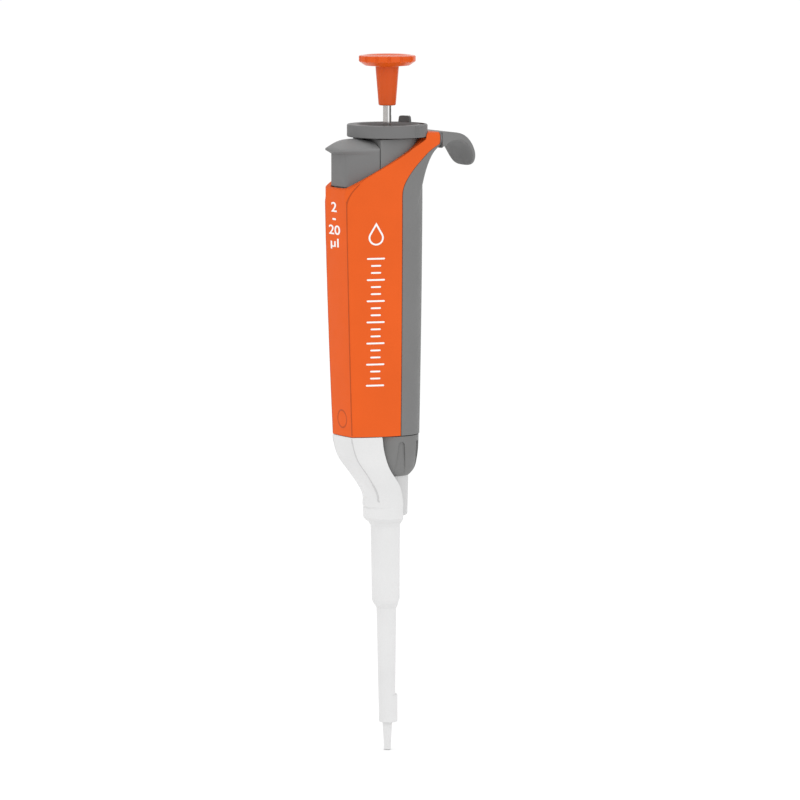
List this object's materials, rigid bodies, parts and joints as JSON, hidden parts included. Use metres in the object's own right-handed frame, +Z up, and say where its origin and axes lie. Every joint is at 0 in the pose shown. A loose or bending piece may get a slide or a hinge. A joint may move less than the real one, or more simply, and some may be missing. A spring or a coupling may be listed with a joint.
{
  "type": "adjustable pipette",
  "caption": "Hand-held one-channel air-displacement pipette with press button, thumb key that drives a tip ejector sleeve, finger hook and slim tip cone.",
  "frame": {"origin": "centre of the lower end of the tip cone, on the piston axis", "axes": "+Z up along the piston axis towards the push button, +Y towards the finger hook, -Y towards the ejector key, +X to the side"},
  "size_m": [0.0286, 0.0541, 0.2489],
  "materials": {
    "orange_casing": "satin moulded",
    "orange_button": "semi-gloss moulded",
    "grey_casing": "fine satin texture",
    "grey_key": "fine satin texture",
    "dark_grey_plastic": "satin",
    "black_plastic": "satin",
    "drum_plastic": "printed",
    "white_plastic": "satin moulded",
    "clear_lens": "clear",
    "polished_steel": "polished",
    "steel": "turned",
    "spring_steel": "drawn wire",
    "brass": "turned",
    "seal_plastic": "plain",
    "black_rubber": "plain"
  },
  "bodies": {
    "handle": {"front_housing": "orange_casing", "rear_housing": "grey_casing", "window_lens": "clear_lens", "head_insert": "grey_casing", "head_screws": "steel", "collar": "grey_casing", "chassis": "black_plastic", "top_plate": "black_plastic", "rod_bush": "brass", "carry_axle": "steel", "blowout_spring": "spring_steel", "main_spring": "spring_steel", "shaft": "white_plastic", "piston_seal": "seal_plastic", "o_ring": "black_rubber", "seal_retainer": "steel", "ejector_spring": "spring_steel"},
    "blowout": {"blowout_ring": "steel"},
    "plunger": {"piston_holder": "black_plastic", "piston": "polished_steel"},
    "button": {"push_button": "orange_button", "control_rod": "polished_steel", "stop_flange": "steel"},
    "spindle": {"volume_spindle": "brass", "tenths_drum": "drum_plastic"},
    "units": {"units_drum": "drum_plastic"},
    "tens": {"tens_drum": "drum_plastic"},
    "lower_carry": {"lower_carry_wheel": "drum_plastic"},
    "upper_carry": {"upper_carry_wheel": "drum_plastic"},
    "volume_stop": {"stop_nut": "seal_plastic"},
    "ejector": {"ejector_key": "grey_key", "ejector_bar": "steel", "ejector_sleeve": "white_plastic"},
    "lock": {"lock_lever": "dark_grey_plastic"},
    "nut": {"connecting_nut": "grey_casing"}
  },
  "joints": [
    {"name": "blowout_press", "type": "slide", "parent": "handle", "child": "blowout", "axis": [0, 0, -1], "range_m": [0, 0.003], "stiffness_N_per_m": 1500, "springref_m": -0.002, "deforming": ["blowout_spring"]},
    {"name": "plunger_press", "type": "slide", "parent": "blowout", "child": "plunger", "axis": [0, 0, -1], "range_m": [0, 0.012], "stiffness_N_per_m": 250, "springref_m": -0.006, "deforming": ["main_spring"]},
    {"name": "volume_turn", "type": "hinge", "parent": "plunger", "child": "button", "pos_m": [0, 0, 0], "axis": [0, 0, 1], "range_deg": [-3240, 0]},
    {"name": "spindle_turn", "type": "hinge", "parent": "handle", "child": "spindle", "pos_m": [0, 0, 0], "axis": [0, 0, 1], "range_deg": [-3241, 1]},
    {"name": "units_turn", "type": "hinge", "parent": "handle", "child": "units", "pos_m": [0, 0, 0], "axis": [0, 0, 1], "range_deg": [-649, 1]},
    {"name": "tens_turn", "type": "hinge", "parent": "handle", "child": "tens", "pos_m": [0, 0, 0], "axis": [0, 0, 1], "range_deg": [-65.8, 1]},
    {"name": "lower_carry_turn", "type": "hinge", "parent": "handle", "child": "lower_carry", "pos_m": [0, -0.0104, 0], "axis": [0, 0, 1], "range_deg": [-1, 3079]},
    {"name": "upper_carry_turn", "type": "hinge", "parent": "handle", "child": "upper_carry", "pos_m": [0, -0.0104, 0], "axis": [0, 0, 1], "range_deg": [-1, 308.8]},
    {"name": "volume_stop_slide", "type": "slide", "parent": "handle", "child": "volume_stop", "axis": [0, 0, -1], "range_m": [-0.00005, 0.01085]},
    {"name": "ejector_press", "type": "slide", "parent": "handle", "child": "ejector", "axis": [0, 0, -1], "range_m": [0, 0.008], "stiffness_N_per_m": 300, "springref_m": -0.01, "deforming": ["ejector_spring"]},
    {"name": "lock_swing", "type": "hinge", "parent": "handle", "child": "lock", "pos_m": [0, 0, 0], "axis": [0, 0, 1], "range_deg": [-58, 0]},
    {"name": "nut_turn", "type": "hinge", "parent": "handle", "child": "nut", "pos_m": [0, 0, 0], "axis": [0, 0, 1], "range_deg": [0, 720]}
  ],
  "couplings": [
    {"joint": "spindle_turn", "follows": "volume_turn", "ratio": 1},
    {"joint": "units_turn", "follows": "volume_turn", "ratio": 0.2},
    {"joint": "tens_turn", "follows": "volume_turn", "ratio": 0.02},
    {"joint": "lower_carry_turn", "follows": "volume_turn", "ratio": -0.95},
    {"joint": "upper_carry_turn", "follows": "volume_turn", "ratio": -0.095},
    {"joint": "volume_stop_slide", "follows": "volume_turn", "m_per_rad": -0.00019099}
  ]
}
